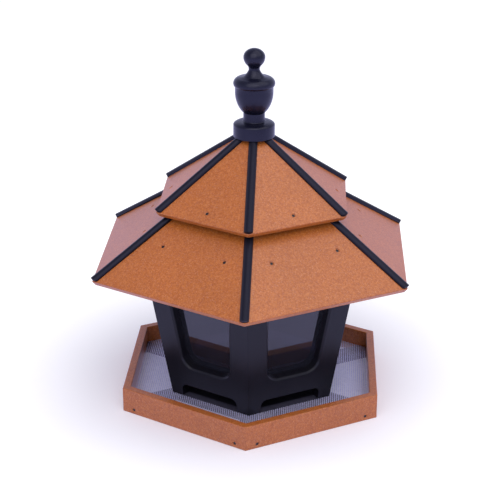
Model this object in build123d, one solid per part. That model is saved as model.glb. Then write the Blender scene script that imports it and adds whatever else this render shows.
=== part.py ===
from build123d import *
import os
from math import acos, atan, ceil, cos, degrees, radians, sin, tan

# A six-sided gazebo bird feeder: tray, leaning body with windows, two-tier hipped roof and turned finial.
# Millimetres and degrees. +Z is up, the origin is on the floor under the finial, and a corner points to -Y.

# Tray
TRAY_CORNER_R = 203.0
RAIL_HEIGHT = 35.0
RAIL_THICK = 10.8
SPOKE_WIDTH = 23.0
SPOKE_THICK = 10.7
SCREEN_THICK = 0.6
SCREEN_EDGE_GAP = 0.2
SCREEN_PITCH = 23.0
SCREEN_WIRE = 2.0
SPOKE_LAP = 32.0
POLE_HOLE_CIRCLE = 80.0
POLE_HOLE_DIA = 4.0
POLE_HOLES = 4
POLE_HOLE_TURN = 45.0

# Body
FOOT_CORNER_R = 127.3
BODY_HEIGHT = 226.3
BODY_LEAN = 9.4
BODY_THICK = 13.0
STILE_WIDTH = 31.0
SILL_HEIGHT = 50.5
HEAD_RAIL = 34.0
WINDOW_CORNER_R = 18.5
WINDOW_EASE = 2.4
SLOT_WIDTH = 91.0
SLOT_HEIGHT = 20.0
SLOT_CORNER_R = 9.0
PANE_THICK = 3.0
PANE_LAP = 10.0

# Roof tiers
ROOF_THICK = 8.1
LOWER_EAVE_R = 241.5
LOWER_PITCH = 35.7
FILL_APOTHEM = 85.3
UPPER_EAVE_R = 146.9
UPPER_PITCH = 37.95
APEX_FLAT_APOTHEM = 16.4
EDGE_EASE = 0.7

# Hip strips
STRIP_WIDTH = 12.0
STRIP_SIDE = 2.2
STRIP_CROWN = 4.6
STRIP_SETBACK = 1.6
STRIP_NOSE_R = 7.0
LOWER_STRIP_TOP_R = 134.0

# Lid
LID_BOARD_APOTHEM = 117.4
LID_BOARD_THICK = 17.0
PLUG_THICK = 11.0
PLUG_GAP = 1.5

# Finial, with heights above the flat that it stands on
COLLAR_R = 28.2
COLLAR_HEIGHT = 16.3
FINIAL_EDGE = 1.2
STEM_R = 14.1
BOWL_R = 25.1
BOWL_CENTRE = 57.9
RIM_R = 27.9
RIM_BOTTOM = 70.6
RIM_FLARE = 2.2
RIM_TOP = 77.6
DOME_ROUND = 39.7
DOME_R = 12.4
NECK_MIDDLE_R = 8.6
NECK_MIDDLE = 89.6
NECK_R = 7.4
NECK_TOP = 93.6
BALL_FOOT_R = 9.7
BALL_R = 14.2
BALL_CENTRE = 110.2
BALL_TOP = 121.2
ARC_STEP = 30.0

# Fasteners
ROD_DIA = 8.0
ROD_IN_FINIAL = 30.0
ROD_END = 3.0
ROD_GAP = 0.5
THREAD_GAP = 0.1
NUT_WIDTH = 16.0
NUT_HEIGHT = 6.5
SCREW_SIDES = 6
SCREW_HEAD_DIA = 5.6
SCREW_HEAD = 1.8
SCREW_DIA = 3.0
SCREW_GAP = 0.15
TRAY_SCREW = 25.0
TRAY_SCREW_FROM_CORNER = 18.0
FOOT_SCREW = 30.0
FOOT_SCREW_APART = 12.0
HUB_SCREW = 9.0
HUB_SCREW_FROM_END = 6.0
LOWER_SCREW = 16.0
LOWER_SCREW_APART = 98.0
LID_SCREW = 15.0
LID_SCREW_RISE = 6.3

# Hexagon
SIDES = 6
TURN = 360 / SIDES
HALF = TURN / 2
FRONT = -90.0
COS_HALF = cos(radians(HALF))
TAN_HALF = tan(radians(HALF))
REACH = 2 * max(TRAY_CORNER_R, LOWER_EAVE_R)

# Derived places of the tray
TRAY_APOTHEM = TRAY_CORNER_R * COS_HALF
RAIL_INNER = TRAY_APOTHEM - RAIL_THICK
FLOOR = SPOKE_THICK + SCREEN_THICK
LAP_LEVEL = SPOKE_THICK / 2

# Derived places of the body
LEAN_SIN = sin(radians(BODY_LEAN))
LEAN_COS = cos(radians(BODY_LEAN))
LEAN_TAN = tan(radians(BODY_LEAN))
FOOT_APOTHEM = FOOT_CORNER_R * COS_HALF
BODY_ACROSS = BODY_THICK / LEAN_COS
FOOT_INNER = FOOT_APOTHEM - BODY_ACROSS
SPOKE_START = FOOT_CORNER_R - SPOKE_LAP
BODY_TOP = FLOOR + BODY_HEIGHT
BODY_TOP_APOTHEM = FOOT_APOTHEM + BODY_HEIGHT * LEAN_TAN
LOWER_TAN = tan(radians(LOWER_PITCH))
UPPER_TAN = tan(radians(UPPER_PITCH))
BEVEL_RISE = LOWER_TAN * BODY_ACROSS / (1 + LOWER_TAN * LEAN_TAN)
BODY_INNER_TOP = BODY_TOP + BEVEL_RISE
BODY_INNER_TOP_APOTHEM = FOOT_INNER + (BODY_HEIGHT + BEVEL_RISE) * LEAN_TAN

# Derived places of the roof and lid
LID_SEAT = BODY_TOP + LOWER_TAN * (BODY_TOP_APOTHEM - FILL_APOTHEM)
PLUG_APOTHEM = FILL_APOTHEM - PLUG_GAP
LOWER_LIFT = ROOF_THICK / cos(radians(LOWER_PITCH))
UPPER_LIFT = ROOF_THICK / cos(radians(UPPER_PITCH))
LOWER_EAVE_APOTHEM = LOWER_EAVE_R * COS_HALF
UPPER_EAVE_APOTHEM = UPPER_EAVE_R * COS_HALF
LOWER_EAVE = BODY_TOP + LOWER_LIFT - LOWER_TAN * (LOWER_EAVE_APOTHEM - BODY_TOP_APOTHEM)
UPPER_EAVE = LID_SEAT + UPPER_LIFT - UPPER_TAN * (UPPER_EAVE_APOTHEM - LID_BOARD_APOTHEM)
APEX_FLAT = UPPER_EAVE + UPPER_TAN * (UPPER_EAVE_APOTHEM - APEX_FLAT_APOTHEM)


def side_angle(index):
    return FRONT + HALF + TURN * index


def corner_angle(index):
    return FRONT + TURN * index


def turned(shape, angle):
    return Rot(0, 0, angle) * shape


def hexagon(apothem, angle):
    """A hexagon with one flat towards the given angle."""
    return RegularPolygon(apothem, SIDES, major_radius=False, rotation=angle + HALF)


def sector():
    """The sixth of space behind one side, which cuts both mitres of a board."""
    corner = REACH * TAN_HALF
    outline = Polyline((0, 0), (REACH, -corner), (REACH, corner), close=True)
    return extrude(make_face(outline), amount=REACH, both=True)


def mitred_board(points):
    """A board with the given section across one side, cut to its two mitres. Its face looks along +X."""
    section = make_face(Plane.XZ * Polyline(*points, close=True))
    return extrude(section, amount=REACH, both=True) & sector()


def screw(length, grow=0.0):
    """A countersunk screw with its head's top at the origin, pointing down."""
    head = RegularPolygon(SCREW_HEAD_DIA / 2 + grow, SCREW_SIDES, major_radius=False)
    neck = RegularPolygon(SCREW_DIA / 2 + grow, SCREW_SIDES, major_radius=False)
    slope = degrees(atan((SCREW_HEAD_DIA - SCREW_DIA) / 2 / SCREW_HEAD))
    upward = extrude(head, amount=SCREW_HEAD, taper=slope) + extrude(neck, amount=length + grow)
    return Rot(180, 0, 0) * upward


def drilled(board, places, length):
    hole = screw(length, SCREW_GAP)
    for place in places:
        board -= place * hole
    return board


def facing(x, y, z, outward_x, outward_z):
    """A place on a side at (x, y, z), with its own Z along the outward direction."""
    return Plane((x, y, z), x_dir=(0, 1, 0), z_dir=(outward_x, 0, outward_z)).location


# Screw places, seen from one side or one corner

def tray_screw_places():
    reach = TRAY_CORNER_R / 2 - TRAY_SCREW_FROM_CORNER
    return [facing(TRAY_APOTHEM, y, SPOKE_THICK / 2, 1, 0) for y in (-reach, reach)]


def spoke_end_places():
    """The two tray screws that meet at a corner, seen from that corner."""
    low, high = tray_screw_places()
    return [Rot(0, 0, HALF) * low, Rot(0, 0, -HALF) * high]


def foot_screw_places():
    middle = FOOT_APOTHEM - BODY_ACROSS / 2
    half = FOOT_SCREW_APART / 2
    x = (middle - half * sin(radians(HALF))) / COS_HALF
    return [Plane((x, y, 0), x_dir=(1, 0, 0), z_dir=(0, 0, -1)).location for y in (-half, half)]


def panel_foot_places():
    """The foot screws that enter one body panel, seen from its side."""
    low, high = foot_screw_places()
    return [Rot(0, 0, -HALF) * high, Rot(0, 0, HALF) * low]


def hub_screw_place():
    x = SPOKE_START + HUB_SCREW_FROM_END
    return Plane((x, 0, 0), x_dir=(1, 0, 0), z_dir=(0, 0, -1)).location


def lower_screw_places():
    pitch = radians(LOWER_PITCH)
    middle_x = (BODY_TOP_APOTHEM + BODY_INNER_TOP_APOTHEM) / 2
    middle_z = (BODY_TOP + BODY_INNER_TOP) / 2
    x = middle_x + ROOF_THICK * sin(pitch)
    z = middle_z + ROOF_THICK * cos(pitch)
    half = LOWER_SCREW_APART / 2
    return [facing(x, y, z, sin(pitch), cos(pitch)) for y in (-half, half)]


def lid_screw_place():
    pitch = radians(UPPER_PITCH)
    x = LID_BOARD_APOTHEM - LID_SCREW_RISE / UPPER_TAN + ROOF_THICK * sin(pitch)
    z = LID_SEAT + LID_SCREW_RISE + ROOF_THICK * cos(pitch)
    return facing(x, 0, z, sin(pitch), cos(pitch))


# Tray

def tray_rail():
    ease = EDGE_EASE
    points = [
        (RAIL_INNER, 0),
        (TRAY_APOTHEM, 0),
        (TRAY_APOTHEM, RAIL_HEIGHT - ease),
        (TRAY_APOTHEM - ease, RAIL_HEIGHT),
        (RAIL_INNER + ease, RAIL_HEIGHT),
        (RAIL_INNER, RAIL_HEIGHT - ease),
    ]
    return drilled(mitred_board(points), tray_screw_places(), TRAY_SCREW)


def tray_spoke():
    """A spoke along +X, with a pointed end in the tray's corner and a tongue let into the base board."""
    half = SPOKE_WIDTH / 2
    tip = RAIL_INNER / COS_HALF
    shoulder = tip - half * TAN_HALF
    outline = Polyline((SPOKE_START, -half), (shoulder, -half), (tip, 0), (shoulder, half),
                       (SPOKE_START, half), close=True)
    spoke = extrude(make_face(outline), amount=SPOKE_THICK)
    spoke -= Pos(SPOKE_START, 0, 0) * Box(2 * SPOKE_LAP, 2 * SPOKE_WIDTH, 2 * LAP_LEVEL)
    spoke = drilled(spoke, spoke_end_places(), TRAY_SCREW)
    spoke = drilled(spoke, foot_screw_places(), FOOT_SCREW)
    return drilled(spoke, [hub_screw_place()], HUB_SCREW)


def pole_hub():
    """The base board under the body: notched for the spokes' tongues, and drilled for a pole's flange."""
    hub = extrude(hexagon(FOOT_APOTHEM, FRONT + HALF), amount=SPOKE_THICK)
    notch = Pos(FOOT_CORNER_R, 0, LAP_LEVEL + SPOKE_THICK) * Box(2 * SPOKE_LAP, SPOKE_WIDTH, 2 * SPOKE_THICK)
    hole = Cylinder(POLE_HOLE_DIA / 2, 4 * SPOKE_THICK)
    for place in PolarLocations(POLE_HOLE_CIRCLE / 2, POLE_HOLES, POLE_HOLE_TURN):
        hub -= place * hole
    for i in range(SIDES):
        corner = Rot(0, 0, corner_angle(i))
        hub -= corner * notch
        hub = drilled(hub, [corner * hub_screw_place()], HUB_SCREW)
        hub = drilled(hub, [corner * place for place in foot_screw_places()], FOOT_SCREW)
    return hub


def floor_screen():
    """The wire floor as one holed sheet round the body, with square gaps wherever a whole one fits."""
    edge = RAIL_INNER - SCREEN_EDGE_GAP
    outer = hexagon(edge, FRONT + HALF).face().outer_wire()
    middle = hexagon(FOOT_INNER, FRONT + HALF).face().outer_wire()
    gap = SCREEN_PITCH - SCREEN_WIRE
    half = gap / 2
    normals = [radians(side_angle(i)) for i in range(SIDES)]
    count = int(2 * TRAY_CORNER_R / SCREEN_PITCH) + 1
    gaps = [middle]
    for place in GridLocations(SCREEN_PITCH, SCREEN_PITCH, count, count):
        x, y = place.position.X, place.position.Y
        far = max(x * cos(a) + y * sin(a) + half * (abs(cos(a)) + abs(sin(a))) for a in normals)
        near = max(x * cos(a) + y * sin(a) - half * (abs(cos(a)) + abs(sin(a))) for a in normals)
        if far < edge - SCREEN_WIRE and near > FOOT_APOTHEM:
            gaps.append((place * Rectangle(gap, gap)).face().outer_wire())
    sheet = extrude(Pos(0, 0, SPOKE_THICK) * Face(outer, gaps), amount=SCREEN_THICK)
    shank = RegularPolygon(SCREW_DIA / 2 + SCREW_GAP, SCREW_SIDES, major_radius=False)
    hole = extrude(shank, amount=2 * FLOOR, both=True)
    for i in range(SIDES):
        for place in foot_screw_places():
            sheet -= Rot(0, 0, corner_angle(i)) * place * hole
    return sheet


# Body

def face_plane(depth):
    """The plane of a body panel's outer face, or one that far behind it: X along the side, Y up the face."""
    origin = (FOOT_APOTHEM - depth * LEAN_COS, 0, FLOOR + depth * LEAN_SIN)
    return Plane(origin, x_dir=(0, 1, 0), z_dir=(LEAN_COS, 0, -LEAN_SIN))


def window_outline(grow):
    """The window, with sides that follow the panel's edges, grown by a margin."""
    low = SILL_HEIGHT - grow
    high = BODY_HEIGHT / LEAN_COS - HEAD_RAIL + grow
    low_half = (FOOT_APOTHEM + low * LEAN_SIN) * TAN_HALF - STILE_WIDTH + grow
    high_half = (FOOT_APOTHEM + high * LEAN_SIN) * TAN_HALF - STILE_WIDTH + grow
    corners = [(-low_half, low), (low_half, low), (high_half, high), (-high_half, high)]
    return make_face(Polyline(*corners, close=True))


def body_panel():
    panel = mitred_board([
        (FOOT_INNER, FLOOR),
        (FOOT_APOTHEM, FLOOR),
        (BODY_TOP_APOTHEM, BODY_TOP),
        (BODY_INNER_TOP_APOTHEM, BODY_INNER_TOP),
    ])
    plane = face_plane(0)
    window = window_outline(0)
    window = fillet(window.vertices(), WINDOW_CORNER_R)
    panel -= extrude(plane * window, amount=2 * BODY_THICK, both=True)
    outward = Axis(plane.origin, plane.z_dir)
    front = panel.faces().filter_by(outward).sort_by(outward)[-1]
    panel = chamfer(front.inner_wires()[0].edges(), WINDOW_EASE)
    slot = Rectangle(SLOT_WIDTH, 2 * SLOT_HEIGHT)
    slot = fillet(slot.vertices(), SLOT_CORNER_R)
    panel -= extrude(plane * slot, amount=2 * BODY_THICK, both=True)
    panel = drilled(panel, panel_foot_places(), FOOT_SCREW)
    return drilled(panel, lower_screw_places(), LOWER_SCREW)


def window_pane():
    return extrude(face_plane(BODY_THICK) * window_outline(PANE_LAP), amount=-PANE_THICK)


# Roof tiers

def lower_roof_panel():
    pitch = radians(LOWER_PITCH)
    rim = LOWER_EAVE_APOTHEM - (LID_SEAT - LOWER_EAVE) / LOWER_TAN
    panel = mitred_board(eave_points(LOWER_EAVE_APOTHEM, LOWER_EAVE, pitch) + [
        (rim, LID_SEAT),
        (FILL_APOTHEM, LID_SEAT),
    ])
    return drilled(panel, lower_screw_places(), LOWER_SCREW)


def upper_roof_panel():
    pitch = radians(UPPER_PITCH)
    inner = APEX_FLAT_APOTHEM - ROOF_THICK / sin(pitch)
    points = eave_points(UPPER_EAVE_APOTHEM, UPPER_EAVE, pitch)
    points.append((APEX_FLAT_APOTHEM, APEX_FLAT))
    points.append((inner, APEX_FLAT))
    panel = drilled(mitred_board(points), [lid_screw_place()], LID_SCREW)
    return panel - Pos(0, 0, APEX_FLAT) * Cylinder(ROD_DIA / 2 + ROD_GAP, 4 * ROOF_THICK)


def eave_points(apothem, height, pitch):
    """The eave of a roof board, cut square to its face, with both edges eased."""
    along = (cos(pitch), -sin(pitch))
    inward = (-sin(pitch), -cos(pitch))

    def point(down, deep):
        return (apothem + down * along[0] + deep * inward[0], height + down * along[1] + deep * inward[1])

    return [
        point(-EDGE_EASE, ROOF_THICK),
        point(0, ROOF_THICK - EDGE_EASE),
        point(0, EDGE_EASE),
        point(-EDGE_EASE, 0),
    ]


def hip_strip(pitch, eave_r, eave_z, top_r):
    """A strip over the hip along +X: hollowed below to sit on both boards, rounded on top and at its nose."""
    pitch = radians(pitch)
    hip = atan(tan(pitch) * COS_HALF)
    fall = sin(pitch) * sin(radians(HALF))
    rise = sin(pitch) * COS_HALF * sin(hip) + cos(pitch) * cos(hip)
    half = STRIP_WIDTH / 2
    foot = -half * fall / rise
    side = foot + STRIP_SIDE
    below = Polyline((-half, side), (-half, foot), (0, 0), (half, foot), (half, side))
    crown = ThreePointArc((half, side), (0, STRIP_CROWN), (-half, side))
    downhill = Vector(cos(hip), 0, -sin(hip))
    tip = Vector(eave_r, 0, eave_z) - downhill * STRIP_SETBACK
    length = (eave_r - top_r) / cos(hip) - STRIP_SETBACK
    section = Plane(tip, x_dir=(0, 1, 0), z_dir=downhill)
    strip = extrude(section * make_face([below, crown]), amount=-length)
    nose = Circle(STRIP_NOSE_R) + Rectangle(length, 2 * STRIP_NOSE_R, align=(Align.MAX, Align.CENTER))
    plan = Plane(tip - downhill * STRIP_NOSE_R, x_dir=downhill, z_dir=(sin(hip), 0, cos(hip)))
    return strip & extrude(plan * nose, amount=STRIP_WIDTH, both=True)


def lower_hip_strip():
    return hip_strip(LOWER_PITCH, LOWER_EAVE_R, LOWER_EAVE, LOWER_STRIP_TOP_R)


def upper_hip_strip():
    """An upper strip, trimmed level with the flat under the finial."""
    strip = hip_strip(UPPER_PITCH, UPPER_EAVE_R, UPPER_EAVE, 0)
    above = Box(REACH, REACH, REACH, align=(Align.CENTER, Align.CENTER, Align.MIN))
    return strip - Pos(0, 0, APEX_FLAT) * above


# Lid

def lid_board():
    """The board inside the lid, with its edges bevelled to the upper boards' undersides."""
    bottom = Pos(0, 0, LID_SEAT) * hexagon(LID_BOARD_APOTHEM, FRONT + HALF)
    board = extrude(bottom, amount=LID_BOARD_THICK, taper=90 - UPPER_PITCH)
    board -= Pos(0, 0, LID_SEAT) * Cylinder(ROD_DIA / 2 + ROD_GAP, 4 * LID_BOARD_THICK)
    places = [Rot(0, 0, side_angle(i)) * lid_screw_place() for i in range(SIDES)]
    return drilled(board, places, LID_SCREW)


def lid_plug():
    outline = hexagon(PLUG_APOTHEM, FRONT + HALF) - Circle(ROD_DIA / 2 + ROD_GAP)
    return extrude(Pos(0, 0, LID_SEAT) * outline, amount=-PLUG_THICK)


def turned_arc(centre, radius, rise, start, stop):
    """The points of a turned curve, as chords of a round or oval arc whose centre is on the axis."""
    steps = ceil((stop - start) / ARC_STEP)
    angles = [radians(start + (stop - start) * step / steps) for step in range(steps + 1)]
    return [(radius * cos(a), centre + rise * sin(a)) for a in angles]


def finial():
    """The turned urn: collar, stem, round bowl, rim, domed cap, neck and ball."""
    edge = FINIAL_EDGE
    stem_angle = degrees(acos(STEM_R / BOWL_R))
    rim_angle = degrees(acos((RIM_R - edge) / DOME_ROUND))
    dome_angle = degrees(acos(DOME_R / DOME_ROUND))
    foot_angle = degrees(acos(BALL_FOOT_R / BALL_R))
    dome_centre = RIM_TOP - DOME_ROUND * sin(radians(rim_angle))
    crown = turned_arc(BALL_CENTRE, BALL_R, BALL_TOP - BALL_CENTRE, 0, 90)
    outline = [(0, 0), (COLLAR_R, 0), (COLLAR_R, COLLAR_HEIGHT - edge), (COLLAR_R - edge, COLLAR_HEIGHT)]
    outline += [(STEM_R, COLLAR_HEIGHT)]
    outline += turned_arc(BOWL_CENTRE, BOWL_R, BOWL_R, -stem_angle, 0)
    outline += [(BOWL_R, RIM_BOTTOM - RIM_FLARE), (RIM_R, RIM_BOTTOM), (RIM_R, RIM_TOP - edge)]
    outline += turned_arc(dome_centre, DOME_ROUND, DOME_ROUND, rim_angle, dome_angle)
    outline += [(NECK_MIDDLE_R, NECK_MIDDLE), (NECK_R, NECK_TOP)]
    outline += turned_arc(BALL_CENTRE, BALL_R, BALL_R, -foot_angle, 0)
    outline += crown[1:-1] + [(0, BALL_TOP)]
    turning = revolve(Plane.XZ * make_face(Polyline(*outline, close=True)), axis=Axis.Z)
    hole = Cylinder(ROD_DIA / 2 + THREAD_GAP, 2 * ROD_IN_FINIAL)
    return Pos(0, 0, APEX_FLAT) * (turning - hole)


def finial_rod():
    low = LID_SEAT - PLUG_THICK - NUT_HEIGHT - ROD_END
    high = APEX_FLAT + ROD_IN_FINIAL
    return extrude(Pos(0, 0, low) * Circle(ROD_DIA / 2), amount=high - low)


def finial_nut():
    """The nut under the plug, which draws the finial, lid board and plug together."""
    seat = LID_SEAT - PLUG_THICK
    nut = extrude(Pos(0, 0, seat) * hexagon(NUT_WIDTH / 2, FRONT), amount=-NUT_HEIGHT)
    return nut - Pos(0, 0, seat) * Cylinder(ROD_DIA / 2 + THREAD_GAP, 4 * NUT_HEIGHT)


# Writing the pieces

def save(shape, node):
    export_step(shape, f"parts/{node}.step")


def save_ring(shape, node, angle):
    """Writes six copies of a piece round the feeder, numbered from the front anticlockwise."""
    for index in range(SIDES):
        save(turned(shape, angle(index)), f"{node}_{index + 1}")


def save_screws(places, node, length, angle):
    pieces = [Rot(0, 0, angle(i)) * place * screw(length) for i in range(SIDES) for place in places]
    save(Compound(children=pieces), node)


def main():
    os.makedirs("parts", exist_ok=True)
    save_ring(tray_rail(), "tray_rail", side_angle)
    save_ring(tray_spoke(), "tray_spoke", corner_angle)
    save(pole_hub(), "pole_hub")
    save(floor_screen(), "floor_screen")
    save_screws(tray_screw_places(), "tray_screws", TRAY_SCREW, side_angle)
    save_screws(foot_screw_places(), "foot_screws", FOOT_SCREW, corner_angle)
    save_screws([hub_screw_place()], "hub_screws", HUB_SCREW, corner_angle)
    save_ring(body_panel(), "body_panel", side_angle)
    save_ring(window_pane(), "window_pane", side_angle)
    save_ring(lower_roof_panel(), "lower_roof_panel", side_angle)
    save_ring(lower_hip_strip(), "lower_hip_strip", corner_angle)
    save_screws(lower_screw_places(), "lower_roof_screws", LOWER_SCREW, side_angle)
    save_ring(upper_roof_panel(), "upper_roof_panel", side_angle)
    save_ring(upper_hip_strip(), "upper_hip_strip", corner_angle)
    save_screws([lid_screw_place()], "lid_screws", LID_SCREW, side_angle)
    save(lid_board(), "lid_board")
    save(lid_plug(), "lid_plug")
    save(finial(), "finial")
    save(finial_rod(), "finial_rod")
    save(finial_nut(), "finial_nut")


main()
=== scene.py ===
import math
import bmesh
import bpy
import numpy as np
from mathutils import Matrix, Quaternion, Vector

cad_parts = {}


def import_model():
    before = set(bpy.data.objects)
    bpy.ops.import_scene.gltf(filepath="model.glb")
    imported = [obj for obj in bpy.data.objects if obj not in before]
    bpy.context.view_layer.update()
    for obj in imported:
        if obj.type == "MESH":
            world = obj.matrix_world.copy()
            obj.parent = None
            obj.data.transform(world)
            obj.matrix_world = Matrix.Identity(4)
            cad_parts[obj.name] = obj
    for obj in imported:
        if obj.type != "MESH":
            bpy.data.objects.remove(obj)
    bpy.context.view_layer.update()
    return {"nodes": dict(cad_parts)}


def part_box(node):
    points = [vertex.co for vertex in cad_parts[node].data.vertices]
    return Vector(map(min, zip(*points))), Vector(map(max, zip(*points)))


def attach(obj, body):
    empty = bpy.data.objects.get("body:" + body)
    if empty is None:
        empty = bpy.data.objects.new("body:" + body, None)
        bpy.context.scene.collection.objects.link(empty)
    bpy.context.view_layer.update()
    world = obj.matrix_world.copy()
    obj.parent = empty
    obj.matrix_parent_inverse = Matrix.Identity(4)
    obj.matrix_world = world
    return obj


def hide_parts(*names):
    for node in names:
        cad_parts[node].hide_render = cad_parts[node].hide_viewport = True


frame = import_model()
nodes = frame["nodes"]
scene = bpy.context.scene
MM = 0.001

# Plan with six sides: half the angle of a side in degrees, and an apothem over its corner radius
SIDES = 6
HALF_SIDE = 30
APOTHEM_SHARE = math.cos(math.radians(HALF_SIDE))

# Camera
CAMERA_PLACE = (0.08846, -1.84937, 0.96358)
CAMERA_AIM = (-0.00504, 0.00047, 0.20377)
CAMERA_ROLL = 0.162
CAMERA_LENS = 102.96
CAMERA_SENSOR = 36.0

# Materials: the range that a noise mostly keeps to, and the samples that ease an edge
NOISE_LOW = 0.30
NOISE_HIGH = 0.70
EDGE_SAMPLES = 4

# Woven floor and its border, with a wire's end clear of a crossing by a share of the pitch
WIRE_PITCH = 2.8 * MM
WIRE_WIDTH = 1.06 * MM
WIRE_DEPTH = 0.29 * MM
WIRE_EDGE = 164.7 * MM
WIRE_INNER = 110.2 * MM
WIRE_END_SHARE = 0.1
WIRE_CREASE = 60
HEM_INNER = 97.6 * MM

# Lower hip strips
LOWER_PITCH = 35.7
STRIP_RUN_UP = 14.0 * MM
STRIP_END_DEPTH = 0.1 * MM
STRIP_WELD = 0.001 * MM
STRIP_CREASE = 35

# Screws
HEAD_SINK = 1.1 * MM
HEAD_SIDES = 24
HEAD_EASE = 0.15 * MM
HEAD_EASE_DEPTH = 0.12 * MM
DRIVE_WIDTH = 1.9 * MM
DRIVE_DEPTH = 0.9 * MM
DRIVE_TAPER = 0.86
SCREW_CLEARANCE = 0.05 * MM
TIP_R = 0.25 * MM
TIP_CLEARANCE = 0.1 * MM
SCREW_CREASE = 35

# Finding the screws in their CAD nodes
POINT_DIGITS = 6
SAME_LEVEL = 0.01 * MM
BELOW_HEAD = 0.1 * MM
SHANK_MARGIN = 1.2

# Finial, with heights above the flat that it stands on and angles in degrees
COLLAR_R = 28.2 * MM
COLLAR_CHAMFER = 0.6 * MM
COLLAR_EDGE = 16.4 * MM
COLLAR_TOP = 21.2 * MM
COLLAR_SHOULDER = 13.0 * MM
COLLAR_STOP = 86
STEM_R = 14.6 * MM
STEM_COVE = 1.4 * MM
BOWL_R = 25.9 * MM
BOWL_CENTRE = 62.0 * MM
BOWL_DEPTH = 34.6 * MM
RIM_R = 28.2 * MM
RIM_STEP = 1.0 * MM
RIM_BOTTOM = 69.5 * MM
RIM_WIDEST = 73.6 * MM
RIM_ROUND = 2.6 * MM
RIM_START = -75
DOME_SHOULDER = 9.0 * MM
DOME_RISE = 8.2 * MM
DOME_STOP = 72
NECK_FOOT_R = 14.5 * MM
NECK_FOOT = 82.6 * MM
NECK_R = 7.4 * MM
NECK_HEIGHT = 92.4 * MM
NECK_LEAN = 0.44
NECK_STEPS = 10
FLARE_R = 4.6 * MM
FLARE_RISE = 7.0 * MM
FLARE_STOP = 120
BALL_FOOT_R = 9.7 * MM
BALL_R = 14.6 * MM
BALL_CENTRE = 109.4 * MM
BALL_TOP = 121.2 * MM
TURN_STEPS = 72
FINIAL_CREASE = 38

# Stage
FLOOR_HALF = 6.0
FLOOR_DROP = 0.4 * MM
FLOOR_COLOUR = (0.80, 0.80, 0.80)
FLOOR_MIRRORED = (0.58, 0.57, 0.86)
GLOW_NEAR = (0.14, 0.142, 0.18)
GLOW_FAR = (0.46, 0.47, 0.40)
GLOW_START = 0.17
GLOW_STOP = 0.50
GLOW_MIRRORED = (0.40, 0.40, 0.62)
SKY_COLOUR = (0.80, 0.79, 1.0)
SKY_LEVEL = 0.74
MIRRORED_COLOUR = (0.66, 0.68, 1.0)
MIRRORED_LOW = 1.15
MIRRORED_HIGH = 0.45
MIRRORED_START = 0.1
MIRRORED_STOP = 0.85
BACKDROP_COLOUR = (1.0, 1.0, 1.0)
BACKDROP_LEVEL = 1.0
KEY_PLACE = (0.9, -0.5, 2.5)
KEY_POWER = 33.5
KEY_SIZE = 3.2
FILL_PLACE = (-0.3, -1.8, 2.0)
FILL_POWER = 24.0
FILL_SIZE = 2.4
LAMP_COLOUR = (1.0, 0.98, 0.98)
LAMP_AIM = (0, 0, 0.2)


# Meshes

def level_ring(radius, height, sides, start=0.0):
    """Points of a level ring round the upright axis, from a starting angle in degrees."""
    made = []
    for i in range(sides):
        angle = math.radians(start) + 2 * math.pi * i / sides
        made.append(Vector((radius * math.cos(angle), radius * math.sin(angle), height)))
    return made


def add_loop(bm, points):
    return [bm.verts.new(point) for point in points]


def bridge(bm, first, second):
    """A band of faces from one loop to the next."""
    for i in range(len(first)):
        j = (i + 1) % len(first)
        bm.faces.new((first[i], first[j], second[j], second[i]))


def linked(name, bm, material, body, replaced, crease=None):
    """Makes a mesh a piece that rides on a body and stands for CAD nodes, sharp past the crease angle."""
    mesh = bpy.data.meshes.new(name)
    bm.to_mesh(mesh)
    bm.free()
    if crease is not None:
        mesh.shade_smooth()
        mesh.set_sharp_from_angle(angle=math.radians(crease))
    mesh.materials.append(material)
    piece = bpy.data.objects.new(name, mesh)
    scene.collection.objects.link(piece)
    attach(piece, body)
    if replaced:
        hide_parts(*replaced)


# Shader nodes

def bare_material(name):
    material = bpy.data.materials.new(name)
    material.use_nodes = True
    tree = material.node_tree
    tree.nodes.clear()
    return material, tree, tree.nodes.new("ShaderNodeOutputMaterial")


def new_material(name):
    material, tree, output = bare_material(name)
    shader = tree.nodes.new("ShaderNodeBsdfPrincipled")
    tree.links.new(shader.outputs["BSDF"], output.inputs["Surface"])
    return material, tree, shader


def feed(tree, socket, value):
    """Gives a socket a number, a colour or what another socket puts out."""
    if isinstance(value, float):
        socket.default_value = value
    elif isinstance(value, tuple):
        socket.default_value = (*value, 1.0)
    else:
        tree.links.new(value, socket)


def set_sockets(tree, node, values):
    for name, value in values.items():
        feed(tree, node.inputs[name], value)


def object_place(tree):
    return tree.nodes.new("ShaderNodeTexCoord").outputs["Object"]


def noise(tree, place, scale, detail=2.0, rough=0.5):
    node = tree.nodes.new("ShaderNodeTexNoise")
    set_sockets(tree, node, {"Vector": place, "Scale": scale, "Detail": detail, "Roughness": rough})
    return node.outputs["Fac"]


def ramp(tree, value, stops):
    node = tree.nodes.new("ShaderNodeValToRGB")
    while len(node.color_ramp.elements) < len(stops):
        node.color_ramp.elements.new(0.5)
    for element, (where, colour) in zip(node.color_ramp.elements, stops):
        element.position = where
        element.color = (*colour, 1.0)
    tree.links.new(value, node.inputs["Fac"])
    return node.outputs["Color"]


def two_tone(tree, value, dark, light):
    """A colour that goes with a noise, from dark to light."""
    return ramp(tree, value, [(NOISE_LOW, dark), (NOISE_HIGH, light)])


def mixed(tree, kind, share, first, second):
    """Mixes two colours. The node's colour sockets share their names with others, so they go by number."""
    node = tree.nodes.new("ShaderNodeMix")
    node.data_type = "RGBA"
    node.blend_type = kind
    for number, value in ((0, share), (6, first), (7, second)):
        feed(tree, node.inputs[number], value)
    return node.outputs[2]


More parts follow.
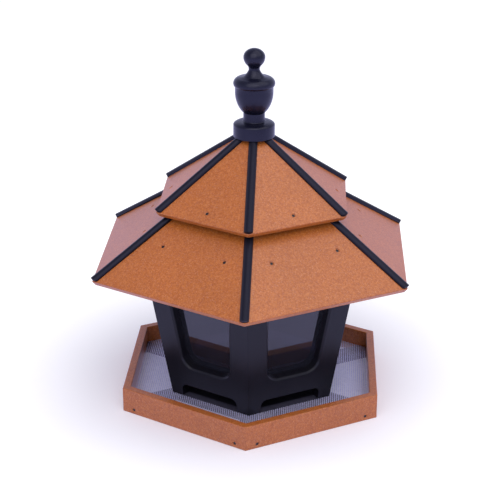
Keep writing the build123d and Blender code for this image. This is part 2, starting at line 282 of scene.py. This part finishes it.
def spread(tree, value, low, high, start=0.0, stop=1.0):
    """Maps a value between a start and a stop to a range."""
    node = tree.nodes.new("ShaderNodeMapRange")
    set_sockets(tree, node, {
        "Value": value,
        "From Min": start,
        "From Max": stop,
        "To Min": low,
        "To Max": high,
    })
    return node.outputs["Result"]


def bumped(tree, shader, height, strength, distance, edge):
    """Fine relief over slightly eased edges."""
    soft = tree.nodes.new("ShaderNodeBevel")
    soft.samples = EDGE_SAMPLES
    feed(tree, soft.inputs["Radius"], edge)
    bump = tree.nodes.new("ShaderNodeBump")
    set_sockets(tree, bump, {
        "Strength": strength,
        "Distance": distance,
        "Height": height,
        "Normal": soft.outputs["Normal"],
    })
    tree.links.new(bump.outputs["Normal"], shader.inputs["Normal"])


# Materials

def cedar_board():
    """Orange-brown board of recycled plastic, mottled and flecked."""
    material, tree, shader = new_material("cedar_board")
    place = object_place(tree)
    mottle = noise(tree, place, 330.0, detail=3.0, rough=0.62)
    grain = noise(tree, place, 950.0, rough=0.6)
    cloud = noise(tree, place, 14.0)
    base = ramp(tree, mottle, [
        (NOISE_LOW, (0.352, 0.084, 0.009)),
        (0.50, (0.448, 0.122, 0.014)),
        (NOISE_HIGH, (0.535, 0.168, 0.026)),
    ])
    fine = ramp(tree, grain, [(NOISE_LOW, (0.78, 0.75, 0.72)), (0.55, (1.0, 1.0, 1.0))])
    broad = two_tone(tree, cloud, (0.95, 0.95, 0.95), (1.05, 1.05, 1.05))
    flecks = ramp(tree, grain, [(0.56, (0.0, 0.0, 0.0)), (0.76, (0.6, 0.6, 0.6))])
    colour = mixed(tree, "MULTIPLY", 1.0, base, fine)
    colour = mixed(tree, "MULTIPLY", 1.0, colour, broad)
    colour = mixed(tree, "MIX", flecks, colour, (0.52, 0.37, 0.29))
    set_sockets(tree, shader, {
        "Base Color": colour,
        "Roughness": spread(tree, grain, 0.28, 0.40),
        "Specular IOR Level": 0.62,
    })
    bumped(tree, shader, mottle, strength=0.18, distance=0.4 * MM, edge=0.6 * MM)
    return material


def black_board(name, sheen):
    """Black board of recycled plastic, satin, with a faint grain and a sheen of the given tint."""
    material, tree, shader = new_material(name)
    place = object_place(tree)
    grain = noise(tree, place, 700.0, detail=3.0, rough=0.6)
    cloud = noise(tree, place, 25.0)
    base = two_tone(tree, grain, (0.0066, 0.0064, 0.0100), (0.0098, 0.0095, 0.0150))
    broad = two_tone(tree, cloud, (0.92, 0.92, 0.92), (1.08, 1.08, 1.08))
    set_sockets(tree, shader, {
        "Base Color": mixed(tree, "MULTIPLY", 1.0, base, broad),
        "Roughness": spread(tree, cloud, 0.28, 0.38),
        "Specular IOR Level": 0.235,
        "Specular Tint": sheen,
    })
    bumped(tree, shader, grain, strength=0.10, distance=0.3 * MM, edge=0.7 * MM)
    return material


def painted_light_black():
    """Black board lifted to a lighter, bluish grey where it lies flat: painted light that stands in for the
    light reaching it in the slots, with random patches.
    """
    material, tree, shader = new_material("painted_light_black")
    patches = noise(tree, object_place(tree), 160.0, detail=3.0, rough=0.6)
    set_sockets(tree, shader, {
        "Base Color": two_tone(tree, patches, (0.046, 0.044, 0.068), (0.068, 0.066, 0.098)),
        "Roughness": spread(tree, patches, 0.50, 0.65),
        "Specular IOR Level": 0.3,
    })
    return material


def turned_black():
    """Black plastic turned on a lathe: smoother, with faint rings and a bluish sheen."""
    material, tree, shader = new_material("turned_black")
    place = object_place(tree)
    rings = tree.nodes.new("ShaderNodeTexWave")
    rings.wave_type = "BANDS"
    rings.bands_direction = "Z"
    set_sockets(tree, rings, {"Vector": place, "Scale": 260.0, "Distortion": 0.6})
    cloud = noise(tree, place, 60.0)
    set_sockets(tree, shader, {
        "Base Color": two_tone(tree, cloud, (0.0028, 0.0030, 0.0090), (0.0050, 0.0054, 0.0140)),
        "Roughness": spread(tree, cloud, 0.24, 0.33),
        "Specular IOR Level": 0.37,
        "Specular Tint": (0.78, 0.78, 1.0),
    })
    bumped(tree, shader, rings.outputs["Fac"], strength=0.05, distance=0.2 * MM, edge=0.3 * MM)
    return material


def dark_pane():
    """Acrylic sheet tinted nearly black, mirror-bright, with faint smears; the near-black tint is painted
    shade that stands in for the dark inside seen through it.
    """
    material, tree, shader = new_material("dark_pane")
    smear = noise(tree, object_place(tree), 30.0, detail=4.0, rough=0.6)
    set_sockets(tree, shader, {
        "Base Color": two_tone(tree, smear, (0.027, 0.028, 0.044), (0.036, 0.037, 0.058)),
        "Roughness": spread(tree, smear, 0.01, 0.05),
        "IOR": 1.49,
        "Transmission Weight": 0.6,
        "Coat Weight": 1.0,
        "Coat Roughness": 0.02,
        "Coat IOR": 1.17,
    })
    return material


def wire():
    """Bright wire, dulled by weather; its lavender-blue tint is painted light, a cast that stands in for
    the bluish light it takes up in shade.
    """
    material, tree, shader = new_material("wire_screen")
    dull = noise(tree, object_place(tree), 240.0, detail=3.0, rough=0.6)
    set_sockets(tree, shader, {
        "Base Color": two_tone(tree, dull, (0.56, 0.56, 0.81), (0.74, 0.74, 0.98)),
        "Roughness": spread(tree, dull, 0.45, 0.60),
        "Metallic": 0.35,
    })
    return material


def dark_steel():
    """Coated steel of the screws, rod and nut."""
    material, tree, shader = new_material("dark_steel")
    dull = noise(tree, object_place(tree), 800.0, detail=3.0, rough=0.6)
    set_sockets(tree, shader, {
        "Base Color": two_tone(tree, dull, (0.06, 0.05, 0.046), (0.15, 0.13, 0.12)),
        "Roughness": spread(tree, dull, 0.32, 0.55),
        "Metallic": 1.0,
    })
    return material


# Floor of woven wire, and its border

def woven_wire(bm, along, across, start, stop, offset, parity, middle):
    """One wire that goes over and under the wires that cross it, one by one."""
    half = WIRE_WIDTH / 2
    deep = WIRE_DEPTH / 2
    first = math.ceil(start / WIRE_PITCH + WIRE_END_SHARE)
    last = math.floor(stop / WIRE_PITCH - WIRE_END_SHARE)
    stations = [(start, 0.0)]
    for number in range(first, last + 1):
        stations.append((number * WIRE_PITCH, deep if (number + parity) % 2 else -deep))
    stations.append((stop, 0.0))
    previous = None
    for here, lift in stations:
        ring = []
        for side, up in ((-half, 0.0), (0.0, deep), (half, 0.0), (0.0, -deep)):
            point = along * here + across * (offset + side)
            ring.append(bm.verts.new((point.x, point.y, middle + lift + up)))
        if previous:
            bridge(bm, previous, ring)
        else:
            bm.faces.new(ring)
        previous = ring
    bm.faces.new(list(reversed(previous)))


def hexagon_reach(edge, offset, along_y):
    """How far a line runs each way inside a hexagon with that apothem, at an offset from its middle."""
    corner = edge / APOTHEM_SHARE
    if along_y:
        return corner - abs(offset) / math.sqrt(3) if abs(offset) < edge else 0.0
    return min(edge, max(0.0, (corner - abs(offset)) * math.sqrt(3)))


def wire_runs(offset, along_y):
    """Where one wire runs: right across beside the body, or in two parts that end at the border."""
    outer = hexagon_reach(WIRE_EDGE, offset, along_y)
    inner = hexagon_reach(WIRE_INNER, offset, along_y)
    if outer < WIRE_PITCH:
        return []
    if inner == 0.0:
        return [(-outer, outer)]
    return [(-outer, -inner), (inner, outer)]


def floor_screen(material):
    low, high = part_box("floor_screen")
    middle = (low.z + high.z) / 2
    bm = bmesh.new()
    x_way, y_way = Vector((1, 0, 0)), Vector((0, 1, 0))
    most = math.ceil(WIRE_EDGE / APOTHEM_SHARE / WIRE_PITCH)
    for number in range(-most, most + 1):
        offset = number * WIRE_PITCH
        for start, stop in wire_runs(offset, True):
            woven_wire(bm, y_way, x_way, start, stop, offset, number, middle)
        for start, stop in wire_runs(offset, False):
            woven_wire(bm, x_way, y_way, start, stop, offset, number + 1, middle)
    linked("woven_floor", bm, material, "feeder", ["floor_screen"], WIRE_CREASE)


def floor_hem(material):
    """The floor's plain dark border, which the body stands on and which shows in its slots."""
    low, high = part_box("floor_screen")
    section = [
        (HEM_INNER, low.z),
        (WIRE_INNER, low.z),
        (WIRE_INNER, high.z),
        (HEM_INNER, high.z),
    ]
    bm = bmesh.new()
    loops = []
    for apothem, height in section:
        loops.append(add_loop(bm, level_ring(apothem / APOTHEM_SHARE, height, SIDES, HALF_SIDE)))
    for lower, upper in zip(loops, loops[1:] + loops[:1]):
        bridge(bm, lower, upper)
    linked("floor_hem", bm, material, "feeder", [])


# Screws

def islands(mesh):
    """The separate solids of a mesh, as arrays of points."""
    points = np.array([v.co for v in mesh.vertices], float)
    keys = [tuple(np.round(p, POINT_DIGITS)) for p in points]
    first = {}
    parent = list(range(len(keys)))

    def root(i):
        while parent[i] != i:
            parent[i] = parent[parent[i]]
            i = parent[i]
        return i

    for i, key in enumerate(keys):
        parent[root(i)] = root(first.setdefault(key, i))
    for polygon in mesh.polygons:
        for v in polygon.vertices[1:]:
            parent[root(v)] = root(polygon.vertices[0])
    groups = {}
    for i in range(len(keys)):
        groups.setdefault(root(i), []).append(i)
    return [points[g] for g in groups.values()]


def screw_place(points):
    """A six-sided screw's head centre, outward axis, head and shank radii, head depth and length."""
    centre = points.mean(0)
    _, _, ways = np.linalg.svd(points - centre)
    axis = ways[0]
    along = (points - centre) @ axis
    around = np.linalg.norm(points - centre - np.outer(along, axis), axis=1)
    one_end = along > along.max() - SAME_LEVEL
    other_end = along < along.min() + SAME_LEVEL
    if around[one_end].mean() < around[other_end].mean():
        axis, along = -axis, -along
    ring = points[along > along.max() - SAME_LEVEL]
    head_centre = (ring.max(0) + ring.min(0)) / 2
    off_axis = points - head_centre
    along = off_axis @ axis
    around = np.linalg.norm(off_axis - np.outer(along, axis), axis=1)
    head_r = around[along > -SAME_LEVEL].max() * APOTHEM_SHARE
    shank_r = around[along < along.min() + SAME_LEVEL].max() * APOTHEM_SHARE
    on_shank = around < SHANK_MARGIN * shank_r / APOTHEM_SHARE
    neck = along[on_shank & (along < -BELOW_HEAD)].max()
    return Vector(head_centre), Vector(axis), head_r, shank_r, -neck, -along.min()


def square_ring(half, height):
    """Points round a square, in the directions of a screw's rings."""
    made = []
    for way in level_ring(1.0, 0.0, HEAD_SIDES):
        made.append(way * half / max(abs(way.x), abs(way.y)) + Vector((0, 0, height)))
    return made


def add_screw(bm, points):
    """A countersunk screw with a square drive, its head a little below the board's face."""
    centre, axis, head_r, shank_r, head_deep, length = screw_place(points)
    turn = Vector((0, 0, 1)).rotation_difference(axis)
    slope = (head_r - shank_r) / head_deep
    top_r = head_r - slope * HEAD_SINK
    shaft_r = shank_r - SCREW_CLEARANCE
    half = DRIVE_WIDTH / 2
    rings = [
        square_ring(half * DRIVE_TAPER, -HEAD_SINK - DRIVE_DEPTH),
        square_ring(half, -HEAD_SINK),
        level_ring(top_r - HEAD_EASE, -HEAD_SINK, HEAD_SIDES),
        level_ring(top_r - SCREW_CLEARANCE, -HEAD_SINK - HEAD_EASE_DEPTH, HEAD_SIDES),
        level_ring(shaft_r, -head_deep, HEAD_SIDES),
        level_ring(shaft_r, 2 * shank_r - length, HEAD_SIDES),
        level_ring(TIP_R, TIP_CLEARANCE - length, HEAD_SIDES),
    ]
    loops = [add_loop(bm, [centre + turn @ p for p in ring]) for ring in rings]
    bm.faces.new(loops[0])
    for upper, lower in zip(loops, loops[1:]):
        bridge(bm, lower, upper)
    bm.faces.new(list(reversed(loops[-1])))


def screws(node, body, material):
    bm = bmesh.new()
    for points in islands(nodes[node].data):
        add_screw(bm, points)
    linked(node.replace("screws", "screw_set"), bm, material, body, [node], SCREW_CREASE)


# Lower hip strips

def lower_strip(number, material):
    """A lower hip strip, run on up the hip until the lid's eave hides its end."""
    node = f"lower_hip_strip_{number}"
    low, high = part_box(node)
    outward = (low + high).to_2d().normalized()
    slope = math.atan(math.tan(math.radians(LOWER_PITCH)) * APOTHEM_SHARE)
    uphill = Vector((-outward.x * math.cos(slope), -outward.y * math.cos(slope), math.sin(slope)))
    bm = bmesh.new()
    bm.from_mesh(nodes[node].data)
    bmesh.ops.remove_doubles(bm, verts=bm.verts, dist=STRIP_WELD)
    top = max(v.co.dot(uphill) for v in bm.verts)
    for v in bm.verts:
        if v.co.dot(uphill) > top - STRIP_END_DEPTH:
            v.co += uphill * STRIP_RUN_UP
    linked(f"lower_strip_{number}", bm, material, "feeder", [node], STRIP_CREASE)


# Finial

def arc(centre_r, centre_z, radius_r, radius_z, start, stop, steps):
    """Points of an arc in the turning's section, from one angle to another in degrees."""
    made = []
    for i in range(steps + 1):
        angle = math.radians(start + (stop - start) * i / steps)
        made.append((centre_r + radius_r * math.cos(angle), centre_z + radius_z * math.sin(angle)))
    return made


def neck_flare():
    """Points up the neck from its wide foot, which leans in more and more steeply, to its waist."""
    made = []
    for i in range(NECK_STEPS + 1):
        share = 1 - i / NECK_STEPS
        wider = NECK_LEAN * share + (1 - NECK_LEAN) * share ** 2
        radius = NECK_R + (NECK_FOOT_R - NECK_R) * wider
        made.append((radius, NECK_HEIGHT + (NECK_FOOT - NECK_HEIGHT) * share))
    return made


def finial_section():
    """The urn's outline from the axis at its foot to the axis at its top."""
    collar_in = COLLAR_R - COLLAR_SHOULDER
    collar_rise = COLLAR_TOP - COLLAR_EDGE
    stem_angle = math.degrees(math.acos(STEM_R / BOWL_R))
    rim_fall = RIM_WIDEST - RIM_BOTTOM
    foot_angle = math.degrees(math.acos(BALL_FOOT_R / BALL_R))
    ball_rise = BALL_TOP - BALL_CENTRE
    section = [(0.0, 0.0), (COLLAR_R - COLLAR_CHAMFER, 0.0), (COLLAR_R, COLLAR_CHAMFER)]
    section += arc(collar_in, COLLAR_EDGE, COLLAR_SHOULDER, collar_rise, 0, COLLAR_STOP, steps=12)
    section += arc(STEM_R + STEM_COVE, COLLAR_TOP + STEM_COVE, STEM_COVE, STEM_COVE, 270, 180, steps=5)
    section += arc(0.0, BOWL_CENTRE, BOWL_R, BOWL_DEPTH, -stem_angle, 0, steps=16)
    section += [(BOWL_R, RIM_BOTTOM - RIM_STEP)]
    section += arc(RIM_R - RIM_ROUND, RIM_WIDEST, RIM_ROUND, rim_fall, RIM_START, 0, steps=7)
    section += arc(RIM_R - DOME_SHOULDER, RIM_WIDEST, DOME_SHOULDER, DOME_RISE, 0, DOME_STOP, steps=12)[1:]
    section += neck_flare()
    section += arc(NECK_R + FLARE_R, NECK_HEIGHT, FLARE_R, FLARE_RISE, 180, FLARE_STOP, steps=5)[1:-1]
    section += arc(0.0, BALL_CENTRE, BALL_R, BALL_R, -foot_angle, 0, steps=8)
    section += arc(0.0, BALL_CENTRE, BALL_R, ball_rise, 0, 90, steps=14)[1:-1]
    section += [(0.0, BALL_TOP)]
    return section


def finial(material):
    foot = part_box("finial")[0].z
    section = finial_section()
    bm = bmesh.new()
    low = bm.verts.new((0, 0, foot + section[0][1]))
    high = bm.verts.new((0, 0, foot + section[-1][1]))
    rings = []
    for radius, height in section[1:-1]:
        rings.append(add_loop(bm, level_ring(radius, foot + height, TURN_STEPS)))
    for i in range(TURN_STEPS):
        j = (i + 1) % TURN_STEPS
        bm.faces.new((low, rings[0][j], rings[0][i]))
        bm.faces.new((high, rings[-1][i], rings[-1][j]))
    for lower, upper in zip(rings, rings[1:]):
        bridge(bm, lower, upper)
    linked("finial_turning", bm, material, "lid", ["finial"], FINIAL_CREASE)


# Stage

def ray_share(tree, *names):
    """1 for the named kinds of rays, and 0 for the rest."""
    path = tree.nodes.new("ShaderNodeLightPath")
    share = path.outputs[names[0]]
    for name in names[1:]:
        most = tree.nodes.new("ShaderNodeMath")
        most.operation = "MAXIMUM"
        tree.links.new(share, most.inputs[0])
        tree.links.new(path.outputs[name], most.inputs[1])
        share = most.outputs[0]
    return share


def floor():
    """A plain pale floor, which glows to white away from the object and is a little blue where mirrored."""
    material, tree, output = bare_material("studio_floor")
    mirrored = ray_share(tree, "Is Glossy Ray")
    matt = tree.nodes.new("ShaderNodeBsdfDiffuse")
    feed(tree, matt.inputs["Color"], mixed(tree, "MIX", mirrored, FLOOR_COLOUR, FLOOR_MIRRORED))
    away = tree.nodes.new("ShaderNodeVectorMath")
    away.operation = "LENGTH"
    tree.links.new(object_place(tree), away.inputs[0])
    far = spread(tree, away.outputs["Value"], 0.0, 1.0, GLOW_START, GLOW_STOP)
    light = mixed(tree, "MIX", far, GLOW_NEAR, GLOW_FAR)
    glow = tree.nodes.new("ShaderNodeEmission")
    set_sockets(tree, glow, {
        "Color": mixed(tree, "MIX", mirrored, light, GLOW_MIRRORED),
        "Strength": ray_share(tree, "Is Camera Ray", "Is Glossy Ray", "Is Transmission Ray"),
    })
    both = tree.nodes.new("ShaderNodeAddShader")
    tree.links.new(matt.outputs[0], both.inputs[0])
    tree.links.new(glow.outputs[0], both.inputs[1])
    tree.links.new(both.outputs[0], output.inputs["Surface"])
    corners = []
    for x, y in ((-1, -1), (1, -1), (1, 1), (-1, 1)):
        corners.append((x * FLOOR_HALF, y * FLOOR_HALF, -FLOOR_DROP))
    mesh = bpy.data.meshes.new("studio_floor")
    mesh.from_pydata(corners, [], [(0, 1, 2, 3)])
    mesh.materials.append(material)
    made = bpy.data.objects.new("studio_floor", mesh)
    scene.collection.objects.link(made)


def backdrop(tree, colour, strength):
    node = tree.nodes.new("ShaderNodeBackground")
    set_sockets(tree, node, {"Color": colour, "Strength": strength})
    return node.outputs[0]


def world():
    """Soft light from all round, bluish where it is mirrored, before a white backdrop."""
    made = bpy.data.worlds.new("studio")
    scene.world = made
    made.use_nodes = True
    tree = made.node_tree
    tree.nodes.clear()
    output = tree.nodes.new("ShaderNodeOutputWorld")
    seen = backdrop(tree, SKY_COLOUR, SKY_LEVEL)
    parts = tree.nodes.new("ShaderNodeSeparateXYZ")
    tree.links.new(tree.nodes.new("ShaderNodeTexCoord").outputs["Generated"], parts.inputs[0])
    falling = spread(tree, parts.outputs["Z"], MIRRORED_LOW, MIRRORED_HIGH, MIRRORED_START, MIRRORED_STOP)
    for kinds, colour, level in (
        (["Is Glossy Ray"], MIRRORED_COLOUR, falling),
        (["Is Camera Ray", "Is Transmission Ray"], BACKDROP_COLOUR, BACKDROP_LEVEL),
    ):
        choose = tree.nodes.new("ShaderNodeMixShader")
        tree.links.new(ray_share(tree, *kinds), choose.inputs["Fac"])
        tree.links.new(seen, choose.inputs[1])
        tree.links.new(backdrop(tree, colour, level), choose.inputs[2])
        seen = choose.outputs[0]
    tree.links.new(seen, output.inputs["Surface"])


def placed(name, data, place, aim):
    """A lamp or camera that looks from its place to its aim."""
    made = bpy.data.objects.new(name, data)
    made.location = place
    made.rotation_mode = "QUATERNION"
    made.rotation_quaternion = (Vector(aim) - Vector(place)).to_track_quat("-Z", "Y")
    scene.collection.objects.link(made)
    return made


def softbox(name, place, size, power):
    data = bpy.data.lights.new(name, "AREA")
    data.shape = "SQUARE"
    data.size = size
    data.energy = power
    data.color = LAMP_COLOUR
    placed(name, data, place, LAMP_AIM)


def camera():
    data = bpy.data.cameras.new("camera")
    data.sensor_width = CAMERA_SENSOR
    data.lens = CAMERA_LENS
    made = placed("camera", data, CAMERA_PLACE, CAMERA_AIM)
    made.rotation_quaternion = made.rotation_quaternion @ Quaternion((0, 0, 1), math.radians(CAMERA_ROLL))
    scene.camera = made


# Dressing the part
cedar = cedar_board()
black = black_board("black_board", (1.0, 1.0, 1.0))
strip = black_board("strip_black", (0.70, 0.70, 1.0))
# the hem's finish is black painted a lighter grey, as painted light for the slots
hem_black = painted_light_black()
lathe_black = turned_black()
pane = dark_pane()
bright_wire = wire()
steel = dark_steel()
finishes = {
    "tray_rail": cedar,
    "lower_roof_panel": cedar,
    "upper_roof_panel": cedar,
    "upper_hip_strip": strip,
    "lower_hip_strip": strip,
    "window_pane": pane,
    "finial_rod": steel,
    "finial_nut": steel,
}
for name, node in nodes.items():
    family = name.rstrip("0123456789").rstrip("_")
    node.data.materials.clear()
    node.data.materials.append(finishes.get(family, black))

floor_screen(bright_wire)
floor_hem(hem_black)
finial(lathe_black)
for number in range(1, SIDES + 1):
    lower_strip(number, strip)
for node in ("tray_screws", "foot_screws", "hub_screws", "lower_roof_screws"):
    screws(node, "feeder", steel)
screws("lid_screws", "lid", steel)

floor()
world()
softbox("key", KEY_PLACE, KEY_SIZE, KEY_POWER)
softbox("fill", FILL_PLACE, FILL_SIZE, FILL_POWER)
camera()
scene.view_settings.view_transform = "Standard"
